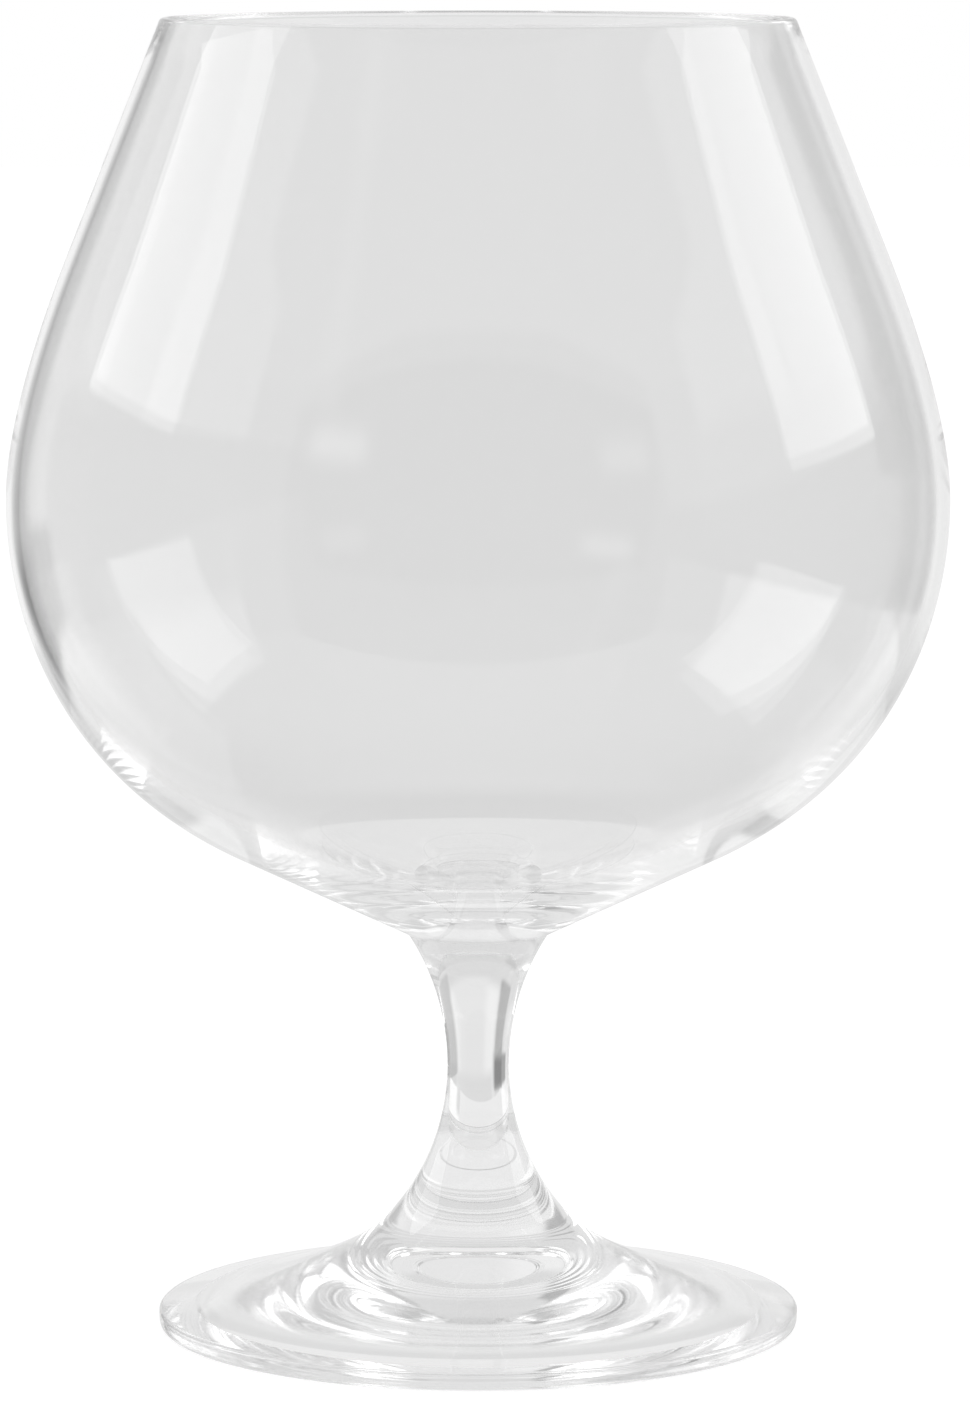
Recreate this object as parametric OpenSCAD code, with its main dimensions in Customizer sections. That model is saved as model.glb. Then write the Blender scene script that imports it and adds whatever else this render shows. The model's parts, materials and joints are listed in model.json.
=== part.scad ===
// Brandy snifter: a wide blown bowl on a short waisted stem and a round foot.
// Three pieces of clear glass, each turned about the upright axis and fused to the next
// at a domed seat. Millimetres, +Z up, origin in the middle of the foot on the table.

/* [Foot] */
// Outer diameter of the foot
foot_d = 74.8; // [62:0.2:90]
// Thickness of the foot at its edge
foot_edge_h = 2.1; // [1.6:0.1:3.2]
// Rounding of the edge above
foot_edge_round = 0.5; // [0.3:0.05:1]
// How full the edge's lower curve is: 0 cuts it straight, 1 squares it
edge_full_share = 0.85; // [0.4:0.05:0.95]
// How far the flat ring that the foot rests on lies in from the edge
rest_inset = 0.65; // [0.3:0.05:2]
// Width of that ring
rest_w = 4.1; // [1.5:0.1:6]
// Slope of the foot's upper face near the edge, in degrees
foot_slope = 10.9; // [6:0.1:13]
// Radius at which the upper face starts to sweep up, as a share of the foot's radius
sweep_share = 0.9; // [0.7:0.01:0.92]
// Pull of the sweep at the outer end
sweep_pull = 2.2; // [1:0.1:7]
// Diameter at which that sweep meets the stem's flare
neck_d = 22.5; // [21:0.1:30]
// Pull of the sweep at the neck
neck_pull = 7.2; // [2:0.1:9]

/* [Underside] */
// Diameter of the flat pad in the middle
pad_d = 15.8; // [11:0.2:20]
// Height of the pad above the table
pad_h = 0.3; // [0.3:0.05:1.6]
// Diameter of the fine ring that is pressed into the pad
mark_d = 11.2; // [4:0.2:14]
// Width of that ring
mark_w = 0.9; // [0.4:0.1:1.6]
// Depth of that ring
mark_depth = 0.12; // [0.05:0.01:0.3]
// Height of the rounded step round the pad
pad_step_h = 1; // [0.2:0.05:1.6]
// Width of that step
pad_step_w = 0.6; // [0.3:0.05:2]
// Slope of the hollow beside the step, in degrees
hollow_lean = 15.2; // [0:0.1:35]
// Pull of the hollow beside the step
hollow_pull = 6.4; // [1:0.1:10]
// Slope of the hollow where it comes down to the rest ring, in degrees
ring_lean = 27.4; // [4:0.1:30]
// Pull of the hollow at the rest ring
ring_pull = 5.4; // [2:0.1:12]

/* [Stem] */
// Diameter of the stem at its waist
waist_d = 7.2; // [5.5:0.1:10]
// Radius of the flare below the waist
lower_flare_r = 26.6; // [20:0.2:34]
// Radius of the flare above the waist
upper_flare_r = 28.4; // [20:0.2:36]
// Diameter of the joint between the stem and the foot
foot_joint_d = 20; // [15:0.5:22]
// Height of that joint's edge above the table
foot_joint_z = 13.2; // [11.5:0.1:16]
// Sag of the stem's rounded end in the foot
foot_seat_sag = 1.2; // [0.5:0.1:2]
// Diameter of the joint between the stem and the bowl
bowl_joint_d = 16.4; // [13:0.2:20]
// Sag of the bowl's rounded underside in the stem
bowl_seat_sag = 1; // [0.4:0.1:2]

/* [Bowl] */
// Outer diameter of the belly, the widest place
belly_d = 109; // [96:0.5:122]
// Height of the belly above the joint with the stem
belly_rise = 50.8; // [44:0.2:60]
// Slope of the straight cone above the joint, in degrees from level
cone_slope = 25.7; // [20:0.1:30]
// Diameter at which that cone turns into the belly's curve
cone_d = 57.7; // [46:0.1:64]
// Pull of the belly's curve along the cone
cone_pull = 21.2; // [15:0.1:26]
// Pull of the belly's curve below the widest place
belly_low_pull = 14.4; // [9:0.1:20]
// Pull of the belly's curve above the widest place
belly_high_pull = 5.3; // [2:0.1:10]
// Height of the shoulder, where the upper wall becomes straight, above the belly
shoulder_rise = 28.6; // [22:0.1:36]
// Pull of the belly's curve along the straight upper wall
shoulder_pull = 15.8; // [9:0.1:20]
// Lean of the upper wall towards the mouth, in degrees from upright
wall_lean = 21.8; // [16:0.1:26]
// Height of the lip above the belly
lip_rise = 55.4; // [46:0.2:66]
// Outer diameter of the upper wall where it meets the lip's level
lip_d = 72.8; // [60:0.2:86]

/* [Glass thickness] */
// Thickness at the lip, which is melted round
lip_wall = 1.3; // [1:0.05:2]
// Thickness at the belly
belly_wall = 1.5; // [1.1:0.05:2.2]
// Thickness where the cone starts
cone_wall = 2.2; // [1.5:0.1:3]
// Thickness of the base in the middle, above the joint
base_wall = 5.8; // [4:0.1:8]
// Pull of the inside curve along the cone
floor_edge_pull = 9; // [5:0.25:12]
// Pull of the inside curve out from the middle of the base
floor_mid_pull = 11; // [6:0.25:14]

/* [Hidden] */
$fn = 180;
glass = [0.84, 0.87, 0.88, 0.6];
// Straight pieces that stand in for each stretch of a curve
arc_steps = 12;
curve_steps = 18;
lip_steps = 8;
mark_steps = 4;

foot_r = foot_d / 2;
rest_r = foot_r - rest_inset;
pad_r = pad_d / 2;
mark_r = mark_d / 2;
waist_r = waist_d / 2;
foot_joint_r = foot_joint_d / 2;
bowl_joint_r = bowl_joint_d / 2;
neck_r = neck_d / 2;
belly_r = belly_d / 2;
cone_r = cone_d / 2;
waist_z = foot_joint_z + flare_reach(lower_flare_r, foot_joint_r);
bowl_joint_z = waist_z + flare_reach(upper_flare_r, bowl_joint_r);
belly_z = bowl_joint_z + belly_rise;
lip_z = belly_z + lip_rise;
floor_z = bowl_joint_z - bowl_seat_sag + base_wall;

// Height between the waist and the place where a flare of this radius is r wide
function flare_reach(flare_r, r) = sqrt(pow(flare_r, 2) - pow(flare_r + waist_r - r, 2));

// Unit direction in the profile's plane, at an angle from level
function heading(angle) = [cos(angle), sin(angle)];

// Points of an arc about a centre, between two angles
function arc(centre, r, from, to, steps) =
    [for (i = [0:steps]) centre + r * heading(from + (to - from) * i / steps)];

// Points of a cubic curve between two ends, each with its pull
function sweep(start, start_pull, end_pull, end, steps) =
    [for (i = [0:steps])
        let (t = i / steps, u = 1 - t)
        start * pow(u, 3)
        + (start + start_pull) * 3 * t * pow(u, 2)
        + (end + end_pull) * 3 * pow(t, 2) * u
        + end * pow(t, 3)];

// A list without its first point, and a list from its end to its start
function tail(points) = [for (i = [1:len(points) - 1]) points[i]];
function reversed(points) = [for (i = [len(points) - 1:-1:0]) points[i]];

// Domed seat from the axis out to its edge: the lower piece is hollowed by it and the upper fills it
function seat(edge_r, edge_z, sag) =
    let (
        dome_r = (pow(edge_r, 2) + pow(sag, 2)) / (2 * sag),
        half_angle = asin(edge_r / dome_r)
    )
    arc([0, edge_z - sag + dome_r], dome_r, -90, -90 + half_angle, arc_steps);

// Flare of the stem's side below or above the waist, from the waist outwards
function flare(flare_r, end_r, side) =
    let (end_angle = acos((flare_r + waist_r - end_r) / flare_r))
    arc([waist_r + flare_r, waist_z], flare_r, 180, 180 - side * end_angle, arc_steps);

function foot_seat() = seat(foot_joint_r, foot_joint_z, foot_seat_sag);
function bowl_seat() = seat(bowl_joint_r, bowl_joint_z, bowl_seat_sag);

module turned(profile) {
    rotate_extrude(convexity = 6)
        polygon(profile);
}

// The fine ring in the pad, across its width
function pad_mark() =
    let (
        inner = [mark_r - mark_w / 2, pad_h],
        top = [mark_r, pad_h + mark_depth],
        outer = [mark_r + mark_w / 2, pad_h],
        pull = [mark_w / 4, 0]
    )
    concat(
        sweep(inner, pull, -pull, top, mark_steps),
        tail(sweep(top, pull, -pull, outer, mark_steps))
    );

// The foot's underside, from the axis over the pad, its step and the hollow to the rest ring
function underside() =
    let (
        step_top = [pad_r + pad_step_w, pad_h + pad_step_h],
        ring_edge = [rest_r - rest_w, 0]
    )
    concat(
        [[0, pad_h]],
        pad_mark(),
        sweep([pad_r, pad_h], [pad_step_w / 2, 0], -pad_step_w / 2 * heading(hollow_lean), step_top, arc_steps),
        tail(sweep(step_top, hollow_pull * heading(hollow_lean), ring_pull * heading(180 - ring_lean),
            ring_edge, curve_steps))
    );

// The foot's edge, from the rest ring up to the sloping upper face
function foot_edge() =
    let (side_z = foot_edge_h - foot_edge_round)
    concat(
        sweep([rest_r, 0], [rest_inset * edge_full_share, 0], [0, -side_z * edge_full_share],
            [foot_r, side_z], arc_steps),
        tail(arc([foot_r - foot_edge_round, side_z], foot_edge_round, 0, 90 - foot_slope, arc_steps))
    );

// The foot's upper face, from its edge up to the joint with the stem
function foot_top() =
    let (
        edge = foot_edge(),
        edge_top = edge[len(edge) - 1],
        sweep_r = foot_r * sweep_share,
        slope_start = [sweep_r, edge_top[1] + (edge_top[0] - sweep_r) * tan(foot_slope)],
        neck_lean = acos((lower_flare_r + waist_r - neck_r) / lower_flare_r),
        neck = [neck_r, waist_z - flare_reach(lower_flare_r, neck_r)],
        joint_lean = acos((lower_flare_r + waist_r - foot_joint_r) / lower_flare_r)
    )
    concat(
        sweep(slope_start, sweep_pull * heading(180 - foot_slope), neck_pull * heading(neck_lean - 90),
            neck, curve_steps),
        tail(arc([waist_r + lower_flare_r, waist_z], lower_flare_r, 180 + neck_lean, 180 + joint_lean, arc_steps))
    );

module foot() {
    color(glass)
        turned(concat(
            underside(),
            foot_edge(),
            foot_top(),
            tail(reversed(foot_seat()))
        ));
}

module stem() {
    color(glass)
        turned(concat(
            foot_seat(),
            tail(reversed(flare(lower_flare_r, foot_joint_r, -1))),
            tail(flare(upper_flare_r, bowl_joint_r, 1)),
            tail(reversed(bowl_seat()))
        ));
}

// A point at the shoulder, set in from the outside by a wall thickness
function shoulder(wall) =
    [lip_d / 2 + (lip_rise - shoulder_rise) * tan(wall_lean), belly_z + shoulder_rise]
    - wall * heading(wall_lean);

// A point at the cone's upper end, set in from the outside by a wall thickness
function cone_end(wall) =
    [cone_r, bowl_joint_z + (cone_r - bowl_joint_r) * tan(cone_slope)]
    + wall * heading(90 + cone_slope);

// One side of the belly, from the cone's end up to the shoulder
function belly_side(at_cone, at_belly, at_shoulder) =
    concat(
        sweep(cone_end(at_cone), cone_pull * heading(cone_slope), [0, -belly_low_pull],
            [belly_r - at_belly, belly_z], curve_steps),
        tail(sweep([belly_r - at_belly, belly_z], [0, belly_high_pull], -shoulder_pull * heading(90 + wall_lean),
            shoulder(at_shoulder), curve_steps))
    );

// The melted lip: a half circle across the wall, with its top at the bowl's full height
function lip() =
    let (
        round_r = lip_wall / 2,
        centre = [lip_d / 2 - round_r / cos(wall_lean) + round_r * tan(wall_lean), lip_z - round_r]
    )
    arc(centre, round_r, wall_lean, 180 + wall_lean, lip_steps);

// The inside of the base, from the cone's end to the axis
function bowl_floor() =
    sweep(cone_end(cone_wall), -floor_edge_pull * heading(cone_slope), [floor_mid_pull, 0],
        [0, floor_z], curve_steps);

module bowl() {
    color(glass)
        turned(concat(
            bowl_seat(),
            belly_side(0, 0, 0),
            lip(),
            reversed(belly_side(cone_wall, belly_wall, lip_wall)),
            tail(bowl_floor())
        ));
}

bowl();
stem();
foot();
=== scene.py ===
import json
import math

import bpy
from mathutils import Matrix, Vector

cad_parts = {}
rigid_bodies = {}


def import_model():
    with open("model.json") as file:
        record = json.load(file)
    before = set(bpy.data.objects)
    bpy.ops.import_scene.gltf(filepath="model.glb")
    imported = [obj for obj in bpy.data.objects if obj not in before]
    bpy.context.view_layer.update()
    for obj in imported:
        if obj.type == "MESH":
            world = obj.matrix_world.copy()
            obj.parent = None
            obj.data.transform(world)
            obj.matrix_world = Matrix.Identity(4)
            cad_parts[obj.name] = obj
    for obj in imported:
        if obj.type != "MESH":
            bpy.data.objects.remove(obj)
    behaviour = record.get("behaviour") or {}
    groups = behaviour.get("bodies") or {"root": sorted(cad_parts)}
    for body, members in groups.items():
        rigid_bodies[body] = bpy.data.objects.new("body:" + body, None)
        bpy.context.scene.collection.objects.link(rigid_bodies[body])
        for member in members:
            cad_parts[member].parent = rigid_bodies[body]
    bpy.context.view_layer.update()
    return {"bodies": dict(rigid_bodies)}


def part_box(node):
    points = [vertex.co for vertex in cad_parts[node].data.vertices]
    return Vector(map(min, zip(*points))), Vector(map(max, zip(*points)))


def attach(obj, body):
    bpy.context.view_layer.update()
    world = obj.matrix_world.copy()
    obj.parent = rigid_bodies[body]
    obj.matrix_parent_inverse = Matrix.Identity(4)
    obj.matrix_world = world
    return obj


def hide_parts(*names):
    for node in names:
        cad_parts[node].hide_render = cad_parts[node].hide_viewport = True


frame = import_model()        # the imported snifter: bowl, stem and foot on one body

bl_info = {
    "name": "Brandy Snifter",
    "version": (1, 0, 0),
    "blender": (4, 5, 0),
    "location": "View3D > Sidebar > Snifter",
    "description": "Turns a snifter's bowl, stem and foot in clear glass "
                   "and sets it in a small white studio",
    "category": "Add Mesh",
}

MM = 0.001
BODY = next(iter(frame["bodies"]))

# Sides of a full turn, and points along each stretch of a profile
TURN_SIDES = 320
ARC_POINTS = 20
STRAIGHT_POINTS = 6
SWEEP_POINTS = 36
BELLY_POINTS = 72
LIP_POINTS = 12
MARK_POINTS = 8
# The foot's hollow is fine where it is rippled; beyond, one in this many of its points is kept
HOLLOW_POINTS = 240
HOLLOW_THINNING = 5
# A point of a profile that is nearer to the axis than this, in metres, lies on it
ON_AXIS = 1e-9
# Slots of a piece: its glass, the clear joint to its neighbour, and the foot's duller hollow
GLASS, JOINT, HOLLOW = 0, 1, 2
# The glass's unevenness: waves for each metre, their fine detail, and their height in metres
WAVE_SCALE, WAVE_DETAIL, WAVE_HEIGHT = 60, 1, 0.000006
RING_SCALE, RING_DETAIL, RING_HEIGHT = 240, 2, 0.0000015
# The rings change slowly across the glass and fast up its height
RING_STRETCH = (0.12, 0.12, 1.0)
# The wear: spots for each metre, their fine detail, and how much it varies the roughness
WEAR_SCALE, WEAR_DETAIL, WEAR_SHARE = 500, 3, 0.5
NOISE_MIDDLE = 0.5
# How far a turned piece may differ from the box of its solid, in metres
BOX_TOLERANCE = 0.0003
# The paper floor: its reach from the glass in metres, its grey and its glow
FLOOR_REACH, FLOOR_GREY, FLOOR_GLOW = 3.0, 0.35, 0.82
WHITE = (1.0, 1.0, 1.0, 1.0)
# The nearest place that the camera shows, in metres
CLIP_START = 0.01
# Light runs far along the inside of a thin wall before it leaves
GLASS_BOUNCES, CLEAR_BOUNCES = 256, 32


def length(label, what, millimetres):
    """A size property, given in millimetres and kept in metres."""
    return bpy.props.FloatProperty(
        name=label, description=what, default=millimetres * MM, min=0.0, unit="LENGTH", precision=5)


def angle(label, what, degrees):
    """An angle property, given in degrees and kept in radians."""
    return bpy.props.FloatProperty(
        name=label, description=what, default=math.radians(degrees), subtype="ANGLE")


def amount(label, what, value, most=1.0):
    """A plain number property between zero and a most."""
    return bpy.props.FloatProperty(name=label, description=what, default=value, min=0.0, max=most)


class FootSizes(bpy.types.PropertyGroup):
    """Sizes of the snifter's foot"""
    diameter: length("Diameter", "Outer diameter of the foot", 74.8)
    edge_height: length("Edge height", "Thickness of the foot at its edge", 2.1)
    edge_round: length("Edge rounding", "Rounding of the edge above", 0.5)
    edge_full: amount("Edge fullness", "How full the edge's lower curve is", 0.85)
    rest_inset: length("Rest inset", "How far the ring that the foot rests on lies in from the edge", 0.65)
    rest_width: length("Rest width", "Width of that ring", 4.1)
    slope: angle("Slope", "Slope of the upper face near the edge", 10.9)
    sweep_start: amount(
        "Sweep start", "Where the upper face starts to sweep up, as a share of the radius", 0.9)
    sweep_pull: length("Sweep pull", "Pull of the sweep at its outer end", 2.2)
    neck_diameter: length("Neck diameter", "Where that sweep meets the stem's flare", 22.5)
    neck_pull: length("Neck pull", "Pull of the sweep at the neck", 7.2)
    pad_diameter: length("Pad diameter", "Diameter of the flat pad in the middle of the underside", 15.8)
    pad_height: length("Pad height", "Height of the pad above the table", 0.3)
    mark_diameter: length("Mark diameter", "Diameter of the fine ring pressed into the pad", 11.2)
    mark_width: length("Mark width", "Width of that ring", 0.9)
    mark_depth: length("Mark depth", "Depth of that ring", 0.12)
    step_height: length("Step height", "Height of the rounded step round the pad", 1)
    step_width: length("Step width", "Width of that step", 0.6)
    hollow_lean: angle("Hollow lean", "Slope of the hollow beside the step", 15.2)
    hollow_pull: length("Hollow pull", "Pull of the hollow beside the step", 6.4)
    ripple_reach: length("Ripple reach", "How far out from the step the rounded rings beside it go", 4.6)
    ripple_count: amount("Ripples", "How many of those rings there are", 5, 20)
    ripple_height: length("Ripple height", "Height of those rings", 0.03)
    ring_lean: angle("Ring lean", "Slope of the hollow where it comes down to the ring", 27.4)
    ring_pull: length("Ring pull", "Pull of the hollow at the ring", 5.4)


class StemSizes(bpy.types.PropertyGroup):
    """Sizes of the snifter's stem and of its two joints"""
    waist_diameter: length("Waist diameter", "Diameter of the stem at its waist", 7.2)
    lower_flare: length("Lower flare", "Radius of the flare below the waist", 26.6)
    upper_flare: length("Upper flare", "Radius of the flare above the waist", 28.4)
    foot_joint_diameter: length("Foot joint", "Diameter of the joint between stem and foot", 20)
    foot_joint_height: length("Foot joint height", "Height of that joint's edge above the table", 13.2)
    foot_seat_sag: length("Foot seat sag", "Sag of the stem's rounded end in the foot", 1.2)
    bowl_joint_diameter: length("Bowl joint", "Diameter of the joint between stem and bowl", 16.4)
    bowl_seat_sag: length("Bowl seat sag", "Sag of the bowl's rounded underside in the stem", 1)


class BowlSizes(bpy.types.PropertyGroup):
    """Sizes of the snifter's bowl and of its walls"""
    belly_diameter: length("Belly diameter", "Outer diameter at the widest place", 109)
    belly_rise: length("Belly rise", "Height of the belly above the joint with the stem", 50.8)
    cone_slope: angle("Cone slope", "Slope of the straight cone above the joint", 25.7)
    cone_diameter: length("Cone diameter", "Where the cone turns into the belly's curve", 57.7)
    cone_pull: length("Cone pull", "Pull of the belly's curve along the cone", 21.2)
    belly_low_pull: length("Low belly pull", "Pull of the belly's curve below the widest place", 14.4)
    belly_high_pull: length("High belly pull", "Pull of the belly's curve above the widest place", 5.3)
    shoulder_rise: length(
        "Shoulder rise", "Height of the straight upper wall's start above the belly", 28.6)
    shoulder_pull: length("Shoulder pull", "Pull of the belly's curve along the upper wall", 15.8)
    wall_lean: angle("Wall lean", "Lean of the upper wall towards the mouth", 21.8)
    lip_rise: length("Lip rise", "Height of the lip above the belly", 55.4)
    lip_diameter: length("Lip diameter", "Outer diameter of the wall at the lip's level", 72.8)
    lip_wall: length("Lip wall", "Thickness at the melted lip", 1.3)
    belly_wall: length("Belly wall", "Thickness at the belly", 1.5)
    cone_wall: length("Cone wall", "Thickness where the cone starts", 2.2)
    base_wall: length("Base wall", "Thickness of the base above the joint", 5.8)
    floor_edge_pull: length("Floor edge pull", "Pull of the inside curve along the cone", 9)
    floor_mid_pull: length("Floor middle pull", "Pull of the inside curve out from the middle", 11)


class GlassFinish(bpy.types.PropertyGroup):
    """Colour and surface of the glass"""
    tint: bpy.props.FloatVectorProperty(
        name="Tint", description="Colour that the glass gives to light that crosses it",
        subtype="COLOR", size=3, default=(0.925, 0.925, 0.925), min=0.0, max=1.0)
    ior: amount("Refraction", "Index of refraction of the glass", 1.5, 2.5)
    roughness: amount("Roughness", "Roughness of the fire-polished surface", 0.0)
    hollow_roughness: amount(
        "Hollow roughness", "Roughness of the foot's hollow, where it left the tool", 0.06)


class StudioSettings(bpy.types.PropertyGroup):
    """Camera and light of the studio"""
    camera_distance: length("Camera distance", "Distance of the camera in front of the glass", 771.9)
    camera_height: length("Camera height", "Height of the camera above the table", 169.7)
    camera_aside: length("Camera aside", "Place of the camera to the right of the glass's axis", 0.8)
    camera_pitch: angle("Camera pitch", "Downward tilt of the camera", 7.12)
    camera_lens: amount("Lens", "Focal length in millimetres for the sensor's height", 172.2, 500)
    sensor_height: amount("Sensor height", "Height of the camera's sensor in millimetres", 36, 100)
    room_light: amount("Room light", "Brightness of the studio where it has no panel", 0.766, 4)


def settings():
    """The sizes of the foot, the stem and the bowl."""
    scene = bpy.context.scene
    return scene.snifter_foot, scene.snifter_stem, scene.snifter_bowl


def heading(direction):
    """Unit vector in the profile's plane, at an angle from level."""
    return Vector((math.cos(direction), math.sin(direction)))


def arc(centre, radius, start, end, steps=ARC_POINTS):
    """Points of an arc about a centre, between two angles."""
    return [Vector(centre) + radius * heading(start + (end - start) * i / steps)
            for i in range(steps + 1)]


def sweep(start, start_pull, end_pull, end, steps=SWEEP_POINTS):
    """Points of a cubic curve between two ends, each with its pull."""
    a, d = Vector(start), Vector(end)
    b, c = a + Vector(start_pull), d + Vector(end_pull)
    points = []
    for i in range(steps + 1):
        t = i / steps
        u = 1 - t
        points.append(a * u ** 3 + b * (3 * t * u ** 2) + c * (3 * t ** 2 * u) + d * t ** 3)
    return points


def seat(edge_radius, edge_height, sag):
    """The domed joint between two pieces, from the axis out to its edge."""
    dome = (edge_radius ** 2 + sag ** 2) / (2 * sag)
    half_angle = math.asin(edge_radius / dome)
    quarter = math.pi / 2
    return arc((0, edge_height - sag + dome), dome, -quarter, half_angle - quarter)


class Levels:
    """Heights and radii that more than one piece shares."""

    def __init__(self, foot, stem, bowl):
        self.waist = stem.waist_diameter / 2
        self.foot_joint = stem.foot_joint_diameter / 2
        self.bowl_joint = stem.bowl_joint_diameter / 2
        self.waist_z = stem.foot_joint_height + self.flare_reach(stem.lower_flare, self.foot_joint)
        self.bowl_joint_z = self.waist_z + self.flare_reach(stem.upper_flare, self.bowl_joint)
        self.belly_z = self.bowl_joint_z + bowl.belly_rise
        self.lip_z = self.belly_z + bowl.lip_rise
        self.floor_z = self.bowl_joint_z - stem.bowl_seat_sag + bowl.base_wall
        self.foot_seat = seat(self.foot_joint, stem.foot_joint_height, stem.foot_seat_sag)
        self.bowl_seat = seat(self.bowl_joint, self.bowl_joint_z, stem.bowl_seat_sag)

    def flare_lean(self, flare, radius):
        """Angle along a flare from the waist to the place where it is this wide."""
        return math.acos((flare + self.waist - radius) / flare)

    def flare_reach(self, flare, radius):
        """Height between the waist and the place where a flare is this wide."""
        return flare * math.sin(self.flare_lean(flare, radius))

    def flare(self, flare, start_radius, end_radius, side):
        """Points of the stem's side between two radii, below (side 1) or above (side -1) the waist."""
        centre = (self.waist + flare, self.waist_z)
        start = math.pi + side * self.flare_lean(flare, start_radius)
        end = math.pi + side * self.flare_lean(flare, end_radius)
        return arc(centre, flare, start, end)


def pad(foot):
    """The flat pad in the middle of the underside, with its pressed ring."""
    mark = foot.mark_diameter / 2
    half = foot.mark_width / 2
    level = foot.pad_height
    inner, top, outer = (mark - half, level), (mark, level + foot.mark_depth), (mark + half, level)
    rise = sweep(inner, (half / 2, 0), (-half / 2, 0), top, MARK_POINTS)
    fall = sweep(top, (half / 2, 0), (-half / 2, 0), outer, MARK_POINTS)
    return [Vector((0, level))] + rise + fall[1:] + [Vector((foot.pad_diameter / 2, level))]


def ripple(foot, out):
    """Lift of the hollow at a distance out from the step, where the tool left rounded rings."""
    wave = (1 - math.cos(2 * math.pi * foot.ripple_count * out / foot.ripple_reach)) / 2
    return Vector((0, foot.ripple_height * wave))


def hollow(foot):
    """The underside from the pad's step out to the ring that the foot rests on."""
    edge = (foot.pad_diameter / 2, foot.pad_height)
    top = (edge[0] + foot.step_width, edge[1] + foot.step_height)
    lean = heading(foot.hollow_lean)
    step = sweep(edge, (foot.step_width / 2, 0), -foot.step_width / 2 * lean, top, ARC_POINTS)
    ring = (foot.diameter / 2 - foot.rest_inset - foot.rest_width, 0)
    face = sweep(top, foot.hollow_pull * lean, foot.ring_pull * heading(math.pi - foot.ring_lean),
                 ring, HOLLOW_POINTS)
    rippled = [point + ripple(foot, point.x - top[0]) for point in face
               if point.x - top[0] < foot.ripple_reach]
    plain = face[len(rippled)::HOLLOW_THINNING]
    end = [] if plain[-1] == face[-1] else face[-1:]
    return step + rippled[1:] + plain + end


def foot_edge(foot):
    """The foot's edge, from the rest ring up to the sloping upper face."""
    radius = foot.diameter / 2
    turn = foot.edge_round
    side_z = foot.edge_height - turn
    below = sweep((radius - foot.rest_inset, 0), (foot.rest_inset * foot.edge_full, 0),
                  (0, -side_z * foot.edge_full), (radius, side_z), ARC_POINTS)
    return below + arc((radius - turn, side_z), turn, 0, math.pi / 2 - foot.slope)[1:]


def foot_top(foot, stem, levels, edge_top):
    """The foot's upper face, from its edge up to the joint with the stem."""
    start_radius = foot.diameter / 2 * foot.sweep_start
    run = edge_top.x - start_radius
    start = Vector((start_radius, edge_top.y + run * math.tan(foot.slope)))
    slope = [edge_top.lerp(start, i / ARC_POINTS) for i in range(1, ARC_POINTS)]
    neck_radius = foot.neck_diameter / 2
    lean = levels.flare_lean(stem.lower_flare, neck_radius)
    neck = (neck_radius, levels.waist_z - levels.flare_reach(stem.lower_flare, neck_radius))
    rise = sweep(start, foot.sweep_pull * heading(math.pi - foot.slope),
                 foot.neck_pull * heading(lean - math.pi / 2), neck)
    return slope + rise + levels.flare(stem.lower_flare, neck_radius, levels.foot_joint, 1)[1:]


def shoulder(bowl, levels, wall):
    """A point at the shoulder, set in from the outside by a wall thickness."""
    drop = bowl.lip_rise - bowl.shoulder_rise
    radius = bowl.lip_diameter / 2 + drop * math.tan(bowl.wall_lean)
    outside = Vector((radius, levels.belly_z + bowl.shoulder_rise))
    return outside - wall * heading(bowl.wall_lean)


def cone_end(bowl, levels, wall):
    """A point at the cone's upper end, set in from the outside by a wall thickness."""
    radius = bowl.cone_diameter / 2
    height = levels.bowl_joint_z + (radius - levels.bowl_joint) * math.tan(bowl.cone_slope)
    return Vector((radius, height)) + wall * heading(math.pi / 2 + bowl.cone_slope)


def belly_side(bowl, levels, at_cone, at_belly, at_shoulder):
    """One side of the belly, from the cone's end up to the shoulder."""
    belly = (bowl.belly_diameter / 2 - at_belly, levels.belly_z)
    low = sweep(cone_end(bowl, levels, at_cone), bowl.cone_pull * heading(bowl.cone_slope),
                (0, -bowl.belly_low_pull), belly, BELLY_POINTS)
    high = sweep(belly, (0, bowl.belly_high_pull),
                 -bowl.shoulder_pull * heading(math.pi / 2 + bowl.wall_lean),
                 shoulder(bowl, levels, at_shoulder))
    return low + high[1:]


def lip(bowl, levels):
    """The melted lip, a half circle across the wall."""
    turn = bowl.lip_wall / 2
    inset = turn / math.cos(bowl.wall_lean) - turn * math.tan(bowl.wall_lean)
    centre = (bowl.lip_diameter / 2 - inset, levels.lip_z - turn)
    return arc(centre, turn, bowl.wall_lean, math.pi + bowl.wall_lean, LIP_POINTS)


def straight(start, end, steps=STRAIGHT_POINTS):
    """Points inside a straight stretch, without its ends."""
    return [Vector(start).lerp(Vector(end), i / steps) for i in range(1, steps)]


def bowl_outside(bowl, levels):
    """The bowl's outline from the joint up over the lip and down inside to the axis."""
    joint = Vector((levels.bowl_joint, levels.bowl_joint_z))
    outer = belly_side(bowl, levels, 0, 0, 0)
    inner = belly_side(bowl, levels, bowl.cone_wall, bowl.belly_wall, bowl.lip_wall)[::-1]
    rim = lip(bowl, levels)
    floor = sweep(inner[-1], -bowl.floor_edge_pull * heading(bowl.cone_slope),
                  (bowl.floor_mid_pull, 0), (0, levels.floor_z))
    return ([joint] + straight(joint, outer[0]) + outer + straight(outer[-1], rim[0]) + rim
            + straight(rim[-1], inner[0]) + inner + floor[1:])


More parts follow.
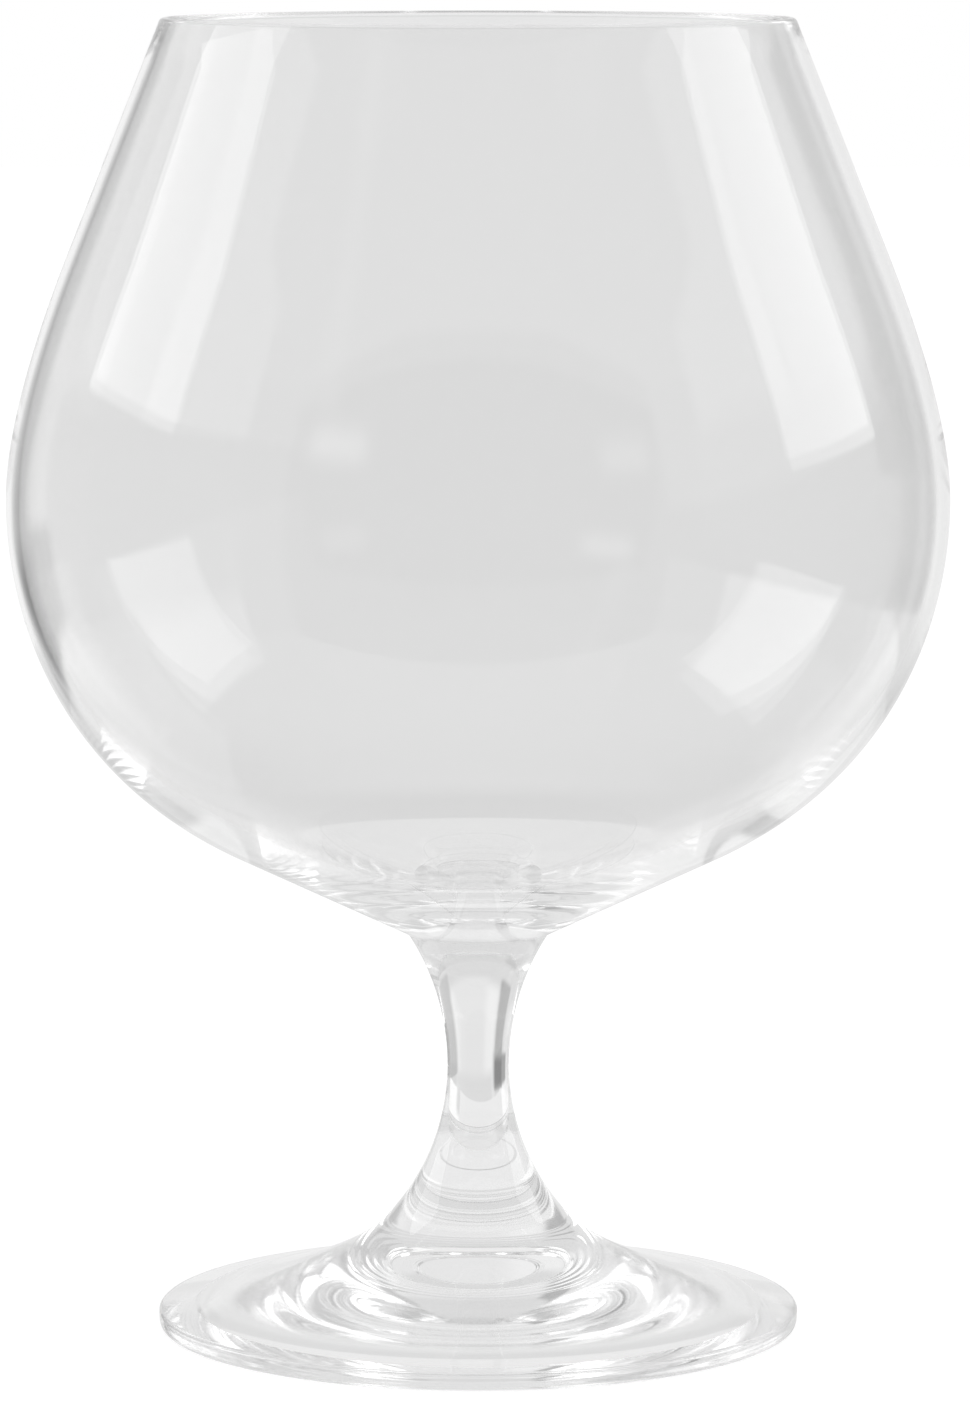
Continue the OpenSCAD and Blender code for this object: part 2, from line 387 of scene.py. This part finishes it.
def lay_rings(rings, on_axis):
    """The points of all rings of a turned piece, and the number of each ring's first point."""
    verts = []
    first = []
    for point, pole in zip(rings, on_axis):
        first.append(len(verts))
        if pole:
            verts.append((0.0, 0.0, point.y))
            continue
        for j in range(TURN_SIDES):
            turn = 2 * math.pi * j / TURN_SIDES
            verts.append((point.x * math.cos(turn), point.x * math.sin(turn), point.y))
    return verts, first


def mark_sharp(mesh, starts):
    """Marks whole rings of a turned piece as sharp: starts are the numbers of their first points."""
    spans = [range(start, start + TURN_SIDES) for start in starts]
    edge_is_sharp = [any(a in span and b in span for span in spans)
                     for a, b in (edge.vertices for edge in mesh.edges)]
    mark = mesh.attributes.new("sharp_edge", "BOOLEAN", "EDGE")
    mark.data.foreach_set("value", edge_is_sharp)


def turned(name, stretches):
    """Turns a profile about the upright axis. A stretch is a list of points and the slot that it wears."""
    rings = []
    slots = []
    sharp = []
    for points, slot in stretches:
        for point in points[1:] if rings else points:
            if rings:
                slots.append(slot)
            rings.append(point)
        sharp.append(len(rings) - 1)
    on_axis = [abs(point.x) < ON_AXIS for point in rings]
    verts, first = lay_rings(rings, on_axis)
    faces = []
    face_slots = []
    for i, slot in enumerate(slots):
        for j in range(TURN_SIDES):
            k = (j + 1) % TURN_SIDES
            low = (first[i],) if on_axis[i] else (first[i] + j, first[i] + k)
            high = (first[i + 1],) if on_axis[i + 1] else (first[i + 1] + k, first[i + 1] + j)
            faces.append(low + high)
            face_slots.append(slot)
    mesh = bpy.data.meshes.new(name)
    mesh.from_pydata(verts, [], faces)
    mesh.polygons.foreach_set("material_index", face_slots)
    mesh.polygons.foreach_set("use_smooth", [True] * len(faces))
    mark_sharp(mesh, [first[i] for i in sharp if not on_axis[i]])
    mesh.validate()
    mesh.update()
    piece = bpy.data.objects.new(name, mesh)
    bpy.context.collection.objects.link(piece)
    return piece


def same_box(piece, node):
    """Stops if a turned piece doesn't fill the box of the solid that it stands for."""
    low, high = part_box(node)
    corners = [vert.co for vert in piece.data.vertices]
    for axis in range(3):
        ends = (min(co[axis] for co in corners), max(co[axis] for co in corners))
        if abs(ends[0] - low[axis]) > BOX_TOLERANCE or abs(ends[1] - high[axis]) > BOX_TOLERANCE:
            raise RuntimeError(f"{piece.name} reaches {ends} on axis {axis}, "
                               f"its solid {low[axis]}, {high[axis]}")


def dress(piece, node, glass, *others):
    """Gives a piece its glass and its clear joints, and sets it in place of its solid."""
    for material in (glass, joint_clear(), *others):
        piece.data.materials.append(material)
    same_box(piece, node)
    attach(piece, BODY)
    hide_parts(node)


def new_tree(material):
    """Clears a material or world and gives back its tree."""
    material.use_nodes = True
    tree = material.node_tree
    tree.nodes.clear()
    return tree


def joint_clear():
    """Nothing at all: where two fused pieces meet there is no surface inside the glass."""
    name = "fused_joint"
    if name in bpy.data.materials:
        return bpy.data.materials[name]
    material = bpy.data.materials.new(name)
    tree = new_tree(material)
    clear = tree.nodes.new("ShaderNodeBsdfTransparent")
    out = tree.nodes.new("ShaderNodeOutputMaterial")
    tree.links.new(clear.outputs[0], out.inputs["Surface"])
    return material


def feed(tree, socket, value):
    """Gives an input its value, which is a number or another node's output."""
    if isinstance(value, bpy.types.NodeSocket):
        tree.links.new(value, socket)
    else:
        socket.default_value = value


def math_node(tree, kind, *values):
    """A Math node: values are numbers or sockets."""
    node = tree.nodes.new("ShaderNodeMath")
    node.operation = kind
    for socket, value in zip(node.inputs, values):
        feed(tree, socket, value)
    return node.outputs[0]


def noise(tree, place, scale, detail):
    """A noise pattern about zero: scale is in waves for each metre."""
    node = tree.nodes.new("ShaderNodeTexNoise")
    tree.links.new(place, node.inputs["Vector"])
    node.inputs["Scale"].default_value = scale
    node.inputs["Detail"].default_value = detail
    return math_node(tree, "SUBTRACT", node.outputs["Fac"], NOISE_MIDDLE)


def glass_detail():
    """The shared group of the glass's unevenness: its slow waves, the rings of its turning and its wear."""
    name = "glass_detail"
    if name in bpy.data.node_groups:
        return bpy.data.node_groups[name]
    group = bpy.data.node_groups.new(name, "ShaderNodeTree")
    group.interface.new_socket(name="Roughness", in_out="INPUT", socket_type="NodeSocketFloat")
    group.interface.new_socket(name="Roughness", in_out="OUTPUT", socket_type="NodeSocketFloat")
    group.interface.new_socket(name="Height", in_out="OUTPUT", socket_type="NodeSocketFloat")
    give = group.nodes.new("NodeGroupInput").outputs
    take = group.nodes.new("NodeGroupOutput").inputs
    place = group.nodes.new("ShaderNodeTexCoord").outputs["Object"]
    flat = group.nodes.new("ShaderNodeVectorMath")
    flat.operation = "MULTIPLY"
    flat.inputs[1].default_value = RING_STRETCH
    group.links.new(place, flat.inputs[0])
    slow = noise(group, place, WAVE_SCALE, WAVE_DETAIL)
    waves = math_node(group, "MULTIPLY", slow, WAVE_HEIGHT)
    level = noise(group, flat.outputs[0], RING_SCALE, RING_DETAIL)
    rings = math_node(group, "MULTIPLY", level, RING_HEIGHT)
    group.links.new(math_node(group, "ADD", waves, rings), take["Height"])
    spots = noise(group, place, WEAR_SCALE, WEAR_DETAIL)
    wear = math_node(group, "MULTIPLY_ADD", spots, WEAR_SHARE, 1.0)
    group.links.new(math_node(group, "MULTIPLY", give["Roughness"], wear), take["Roughness"])
    return group


def clear_glass(name, roughness):
    """Clear glass of a given roughness, faintly uneven."""
    finish = bpy.context.scene.snifter_glass
    material = bpy.data.materials.new(name)
    tree = new_tree(material)
    shader = tree.nodes.new("ShaderNodeBsdfPrincipled")
    out = tree.nodes.new("ShaderNodeOutputMaterial")
    tree.links.new(shader.outputs[0], out.inputs["Surface"])
    shader.inputs["Base Color"].default_value = (*finish.tint, 1.0)
    shader.inputs["IOR"].default_value = finish.ior
    shader.inputs["Transmission Weight"].default_value = 1.0
    detail = tree.nodes.new("ShaderNodeGroup")
    detail.node_tree = glass_detail()
    detail.inputs["Roughness"].default_value = roughness
    tree.links.new(detail.outputs["Roughness"], shader.inputs["Roughness"])
    bump = tree.nodes.new("ShaderNodeBump")
    bump.inputs["Distance"].default_value = 1.0
    tree.links.new(detail.outputs["Height"], bump.inputs["Height"])
    tree.links.new(bump.outputs["Normal"], shader.inputs["Normal"])
    return material


class SNIFTER_OT_foot(bpy.types.Operator):
    """Turns the round foot"""
    bl_idname = "snifter.foot"
    bl_label = "Foot"

    def execute(self, context):
        foot, stem, bowl = settings()
        levels = Levels(foot, stem, bowl)
        edge = foot_edge(foot)
        under = hollow(foot)
        outside = under[-1:] + edge + foot_top(foot, stem, levels, edge[-1])
        piece = turned("foot_glass", [(pad(foot), GLASS), (under, HOLLOW), (outside, GLASS),
                                      (levels.foot_seat[::-1], JOINT)])
        finish = context.scene.snifter_glass
        dress(piece, "foot", clear_glass("foot_glass", finish.roughness),
              clear_glass("foot_hollow_glass", finish.hollow_roughness))
        return {"FINISHED"}


class SNIFTER_OT_stem(bpy.types.Operator):
    """Turns the waisted stem"""
    bl_idname = "snifter.stem"
    bl_label = "Stem"

    def execute(self, context):
        foot, stem, bowl = settings()
        levels = Levels(foot, stem, bowl)
        lower = levels.flare(stem.lower_flare, levels.foot_joint, levels.waist, 1)
        upper = levels.flare(stem.upper_flare, levels.waist, levels.bowl_joint, -1)
        piece = turned("stem_glass", [(levels.foot_seat, JOINT), (lower + upper[1:], GLASS),
                                      (levels.bowl_seat[::-1], JOINT)])
        dress(piece, "stem", clear_glass("stem_glass", context.scene.snifter_glass.roughness))
        return {"FINISHED"}


class SNIFTER_OT_bowl(bpy.types.Operator):
    """Turns the balloon bowl with its lip and thick base"""
    bl_idname = "snifter.bowl"
    bl_label = "Bowl"

    def execute(self, context):
        foot, stem, bowl = settings()
        levels = Levels(foot, stem, bowl)
        piece = turned("bowl_glass", [(levels.bowl_seat, JOINT), (bowl_outside(bowl, levels), GLASS)])
        dress(piece, "bowl", clear_glass("bowl_glass", context.scene.snifter_glass.roughness))
        return {"FINISHED"}


def blend(tree, mask, off, on):
    """Off where the mask is 0, on where it is 1; both are numbers or sockets."""
    node = tree.nodes.new("ShaderNodeMix")
    node.data_type = "FLOAT"
    tree.links.new(mask, node.inputs["Factor"])
    feed(tree, node.inputs["A"], off)
    feed(tree, node.inputs["B"], on)
    return node.outputs["Result"]


# A panel narrower than this, in degrees, is a flat board, and a wider one bends round the glass
WIDEST_BOARD = 150
# The studio as the glass sees it, with its angles in degrees. Azimuth is 0 behind the glass and grows
# to the right, elevation is 0 level. Each panel lies over those before it: name, middle azimuth, width,
# lowest and highest elevation, lean (rise for each degree to the right), edge, brightness.
PANELS = (
    ("table", 0, 400, -100, -28, 0, 3, 0.90),
    ("table on the left", -57, 49, -51.5, -20.3, 0, 1.5, 1.12),
    ("left strip on the table", -50, 22, -21, -12.5, 0, 1.5, 1.1),
    ("table on the right", 37.5, 37, -41.6, -17.8, 0.08, 1.2, 1.1),
    ("table under left softbox", -101.5, 35, -40, -6.3, -0.2, 1.2, 1.34),
    ("table under right softbox", 97.5, 38, -42, -13.8, 0.19, 1.2, 1.4),
    ("left wall", -81.2, 78.5, -22.3, 15.5, 0, 11.5, 0.89),
    ("right wall", 74, 144, -17.5, 8.75, 0, 1.2, 0.55),
    ("front board", 180.5, 94, -39, 33, 0, 1.2, 0.54),
    ("left gap", -33, 38, -18, -6.5, 0, 3, 0.40),
    ("left flag", -29.5, 16, -18, 19, 0, 4, 0.46),
    ("foot of the left flag", -30, 17, -18, -8, 0, 4, 0.26),
    ("right flag", 43, 27, -10, 25, 0, 3.3, 0.6),
    ("back sweep", 5, 52, -30, 16, 0, 8, 0.95),
    ("sweep middle", 9, 34, -30, 17, 0, 9, 0.865),
    ("sweep foot", 6, 50, -30, -13.5, 0, 6, 0.78),
    ("table behind", -6, 62, -89, -21.4, 0, 0.8, 0.92),
    ("left softbox", -79.7, 35.8, 14.2, 48, -0.1, 0.9, 2.0),
    ("right softbox", 80.7, 33.4, 9.2, 42, 0.05, 0.9, 1.98),
    ("left lamp", -144.5, 14.5, 17.2, 21.8, 0, 7, 1.65),
    ("right lamp", 143, 12, 14.5, 20.3, 0, 6, 1.03),
    ("left strip", -139, 6.5, 24.5, 59.5, 0, 5, 0.92),
)


def panel_group():
    """A group that gives the mask of one soft-edged panel of the studio."""
    name = "studio_panel"
    if name in bpy.data.node_groups:
        return bpy.data.node_groups[name]
    group = bpy.data.node_groups.new(name, "ShaderNodeTree")
    for label in ("Azimuth", "Elevation", "Middle", "Half width", "Lowest", "Highest", "Lean", "Edge",
                  "Flat"):
        group.interface.new_socket(name=label, in_out="INPUT", socket_type="NodeSocketFloat")
    group.interface.new_socket(name="Mask", in_out="OUTPUT", socket_type="NodeSocketFloat")
    give = group.nodes.new("NodeGroupInput").outputs
    take = group.nodes.new("NodeGroupOutput").inputs
    aside = math_node(group, "SUBTRACT", give["Azimuth"], give["Middle"])
    turn = math_node(group, "WRAP", aside, math.pi, -math.pi)
    inside = math_node(group, "SUBTRACT", give["Half width"], math_node(group, "ABSOLUTE", turn))
    sides = soft_step(group, inside, give["Edge"])
    # The level edge of a flat board comes down, as the glass sees it, the further aside it is
    nearer = math_node(group, "COSINE", math_node(group, "MULTIPLY", turn, give["Flat"]))
    steep = math_node(group, "DIVIDE", math_node(group, "TANGENT", give["Elevation"]), nearer)
    rise = math_node(group, "MULTIPLY", turn, give["Lean"])
    level = math_node(group, "SUBTRACT", math_node(group, "ARCTANGENT", steep), rise)
    above = soft_step(group, math_node(group, "SUBTRACT", level, give["Lowest"]), give["Edge"])
    below = soft_step(group, math_node(group, "SUBTRACT", give["Highest"], level), give["Edge"])
    mask = math_node(group, "MULTIPLY", sides, math_node(group, "MULTIPLY", above, below))
    group.links.new(mask, take["Mask"])
    return group


def soft_step(tree, inside, edge):
    """Rises softly from 0 to 1 across an edge: inside is the distance in from it."""
    half = math_node(tree, "MULTIPLY", edge, 0.5)
    node = tree.nodes.new("ShaderNodeMapRange")
    node.interpolation_type = "SMOOTHSTEP"
    tree.links.new(inside, node.inputs["Value"])
    tree.links.new(math_node(tree, "MULTIPLY", half, -1.0), node.inputs["From Min"])
    tree.links.new(half, node.inputs["From Max"])
    return node.outputs["Result"]


def studio_world(studio):
    """White for the camera, the panels of a small pale studio in the glass, and even light on the floor."""
    world = bpy.data.worlds.new("studio")
    bpy.context.scene.world = world
    tree = new_tree(world)
    direction = tree.nodes.new("ShaderNodeTexCoord").outputs["Generated"]
    split = tree.nodes.new("ShaderNodeSeparateXYZ")
    tree.links.new(direction, split.inputs[0])
    azimuth = math_node(tree, "ARCTAN2", split.outputs["X"], split.outputs["Y"])
    elevation = math_node(tree, "ARCSINE", split.outputs["Z"])
    light = studio.room_light
    for name, middle, width, lowest, highest, lean, edge, brightness in PANELS:
        panel = tree.nodes.new("ShaderNodeGroup")
        panel.node_tree = panel_group()
        panel.label = name
        tree.links.new(azimuth, panel.inputs["Azimuth"])
        tree.links.new(elevation, panel.inputs["Elevation"])
        for label, degrees in (("Middle", middle), ("Half width", width / 2), ("Lowest", lowest),
                               ("Highest", highest), ("Edge", edge)):
            panel.inputs[label].default_value = math.radians(degrees)
        panel.inputs["Lean"].default_value = lean
        panel.inputs["Flat"].default_value = float(width < WIDEST_BOARD)
        light = blend(tree, panel.outputs["Mask"], light, brightness)
    path = tree.nodes.new("ShaderNodeLightPath")
    in_glass = math_node(tree, "MAXIMUM", path.outputs["Is Glossy Ray"],
                         path.outputs["Is Transmission Ray"])
    light = blend(tree, in_glass, studio.room_light, light)
    light = blend(tree, path.outputs["Is Camera Ray"], light, 1.0)
    background = tree.nodes.new("ShaderNodeBackground")
    background.inputs["Color"].default_value = WHITE
    tree.links.new(light, background.inputs["Strength"])
    out = tree.nodes.new("ShaderNodeOutputWorld")
    tree.links.new(background.outputs[0], out.inputs["Surface"])


def studio_floor():
    """A pale floor with the glass's shadow, for the camera alone. The glass sees the panels in its place."""
    mesh = bpy.data.meshes.new("studio_floor")
    corners = [(FLOOR_REACH * x, FLOOR_REACH * y, 0) for x, y in ((-1, -1), (1, -1), (1, 1), (-1, 1))]
    mesh.from_pydata(corners, [], [(0, 1, 2, 3)])
    floor = bpy.data.objects.new("studio_floor", mesh)
    bpy.context.collection.objects.link(floor)
    material = bpy.data.materials.new("floor_paper")
    tree = new_tree(material)
    paper = tree.nodes.new("ShaderNodeBsdfDiffuse")
    paper.inputs["Color"].default_value = (FLOOR_GREY, FLOOR_GREY, FLOOR_GREY, 1.0)
    glow = tree.nodes.new("ShaderNodeEmission")
    glow.inputs["Strength"].default_value = FLOOR_GLOW
    add = tree.nodes.new("ShaderNodeAddShader")
    tree.links.new(paper.outputs[0], add.inputs[0])
    tree.links.new(glow.outputs[0], add.inputs[1])
    gone = tree.nodes.new("ShaderNodeBsdfTransparent")
    pick = tree.nodes.new("ShaderNodeMixShader")
    path = tree.nodes.new("ShaderNodeLightPath")
    tree.links.new(path.outputs["Is Camera Ray"], pick.inputs[0])
    tree.links.new(gone.outputs[0], pick.inputs[1])
    tree.links.new(add.outputs[0], pick.inputs[2])
    out = tree.nodes.new("ShaderNodeOutputMaterial")
    tree.links.new(pick.outputs[0], out.inputs["Surface"])
    mesh.materials.append(material)


def studio_camera(studio):
    """The camera at the photograph's place."""
    data = bpy.data.cameras.new("camera")
    data.sensor_fit = "VERTICAL"
    data.sensor_height = studio.sensor_height
    data.lens = studio.camera_lens
    data.clip_start = CLIP_START
    camera = bpy.data.objects.new("camera", data)
    camera.location = (studio.camera_aside, -studio.camera_distance, studio.camera_height)
    camera.rotation_euler = (math.pi / 2 - studio.camera_pitch, 0, 0)
    bpy.context.collection.objects.link(camera)
    bpy.context.scene.camera = camera


class SNIFTER_OT_studio(bpy.types.Operator):
    """Sets up the floor, the light and the camera"""
    bl_idname = "snifter.studio"
    bl_label = "Studio"

    def execute(self, context):
        scene = context.scene
        studio = scene.snifter_studio
        studio_floor()
        studio_world(studio)
        studio_camera(studio)
        scene.view_settings.view_transform = "Standard"
        scene.cycles.max_bounces = GLASS_BOUNCES
        scene.cycles.transmission_bounces = GLASS_BOUNCES
        scene.cycles.glossy_bounces = GLASS_BOUNCES
        scene.cycles.transparent_max_bounces = CLEAR_BOUNCES
        return {"FINISHED"}


class SNIFTER_PT_sidebar(bpy.types.Panel):
    """Buttons for the studio and for each of the snifter's pieces"""
    bl_label = "Snifter"
    bl_idname = "SNIFTER_PT_sidebar"
    bl_space_type = "VIEW_3D"
    bl_region_type = "UI"
    bl_category = "Snifter"

    def draw(self, context):
        for step in STEPS:
            self.layout.operator(step.bl_idname)


GROUPS = {
    "snifter_foot": FootSizes,
    "snifter_stem": StemSizes,
    "snifter_bowl": BowlSizes,
    "snifter_glass": GlassFinish,
    "snifter_studio": StudioSettings,
}
STEPS = (SNIFTER_OT_studio, SNIFTER_OT_foot, SNIFTER_OT_stem, SNIFTER_OT_bowl)


def register():
    for name, group in GROUPS.items():
        bpy.utils.register_class(group)
        setattr(bpy.types.Scene, name, bpy.props.PointerProperty(type=group))
    for step in STEPS:
        bpy.utils.register_class(step)
    bpy.utils.register_class(SNIFTER_PT_sidebar)


def unregister():
    bpy.utils.unregister_class(SNIFTER_PT_sidebar)
    for step in reversed(STEPS):
        bpy.utils.unregister_class(step)
    for name, group in reversed(GROUPS.items()):
        delattr(bpy.types.Scene, name)
        bpy.utils.unregister_class(group)


def main():
    """Registers the add-on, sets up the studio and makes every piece."""
    register()
    bpy.ops.snifter.studio()
    bpy.ops.snifter.foot()
    bpy.ops.snifter.stem()
    bpy.ops.snifter.bowl()


if __name__ == "__main__":
    main()
